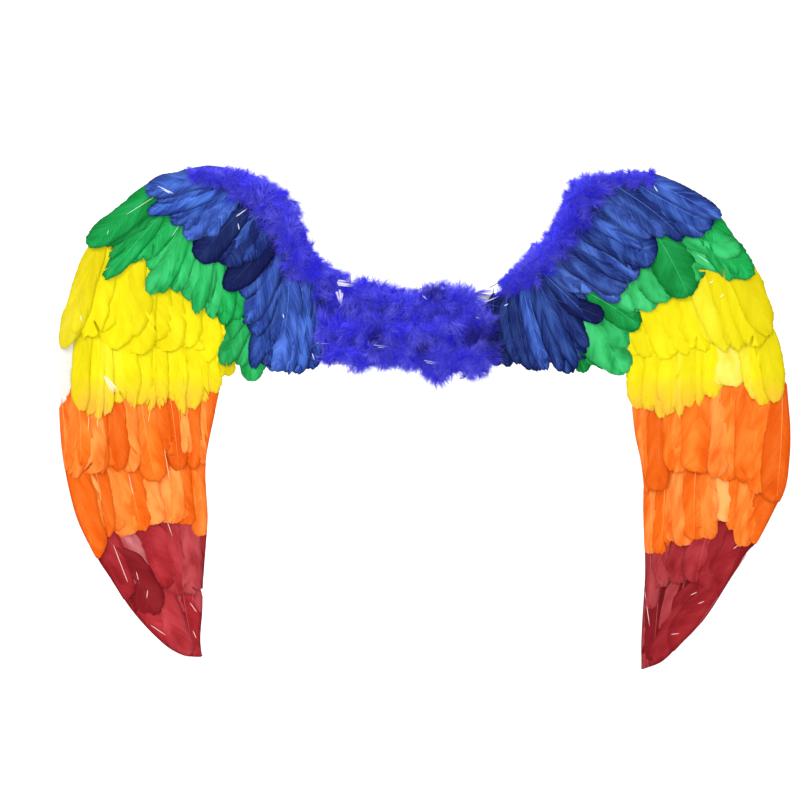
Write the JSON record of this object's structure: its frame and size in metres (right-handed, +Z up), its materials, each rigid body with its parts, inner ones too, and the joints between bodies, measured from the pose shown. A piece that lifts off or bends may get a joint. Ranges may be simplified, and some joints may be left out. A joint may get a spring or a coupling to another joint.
{
  "type": "feather costume wings",
  "caption": "Spread costume wings of dyed feathers in overlapping rainbow rows on stiff cards, joined by a panel under blue marabou, with elastic shoulder loops.",
  "frame": {"origin": "middle of the centre panel's rear face, which lies on the wearer's back", "axes": "+X to the right as seen from the feathered side, +Y towards the wearer, +Z up"},
  "size_m": [0.7171, 0.1938, 0.4933],
  "materials": {
    "white_card": "matt white stiff card",
    "red_feather": "dyed feather, satin",
    "orange_feather": "dyed feather, satin",
    "yellow_feather": "dyed feather, satin",
    "green_feather": "dyed feather, satin",
    "blue_feather": "dyed feather, satin",
    "blue_marabou": "dyed marabou down, fluffy",
    "white_elastic": "woven elastic tape"
  },
  "bodies": {
    "root": {"wing_card_left": "white_card", "wing_card_right": "white_card", "centre_panel": "white_card", "red_lower_feathers_left": "red_feather", "red_upper_feathers_left": "red_feather", "orange_lower_feathers_left": "orange_feather", "orange_upper_feathers_left": "orange_feather", "yellow_lower_feathers_left": "yellow_feather", "yellow_upper_feathers_left": "yellow_feather", "green_feathers_left": "green_feather", "blue_feathers_left": "blue_feather", "red_lower_feathers_right": "red_feather", "red_upper_feathers_right": "red_feather", "orange_lower_feathers_right": "orange_feather", "orange_upper_feathers_right": "orange_feather", "yellow_lower_feathers_right": "yellow_feather", "yellow_upper_feathers_right": "yellow_feather", "green_feathers_right": "green_feather", "blue_feathers_right": "blue_feather", "marabou_trim_left": "blue_marabou", "marabou_trim_right": "blue_marabou", "marabou_centre": "blue_marabou", "shoulder_strap_left": "white_elastic", "shoulder_strap_right": "white_elastic"}
  },
  "joints": []
}
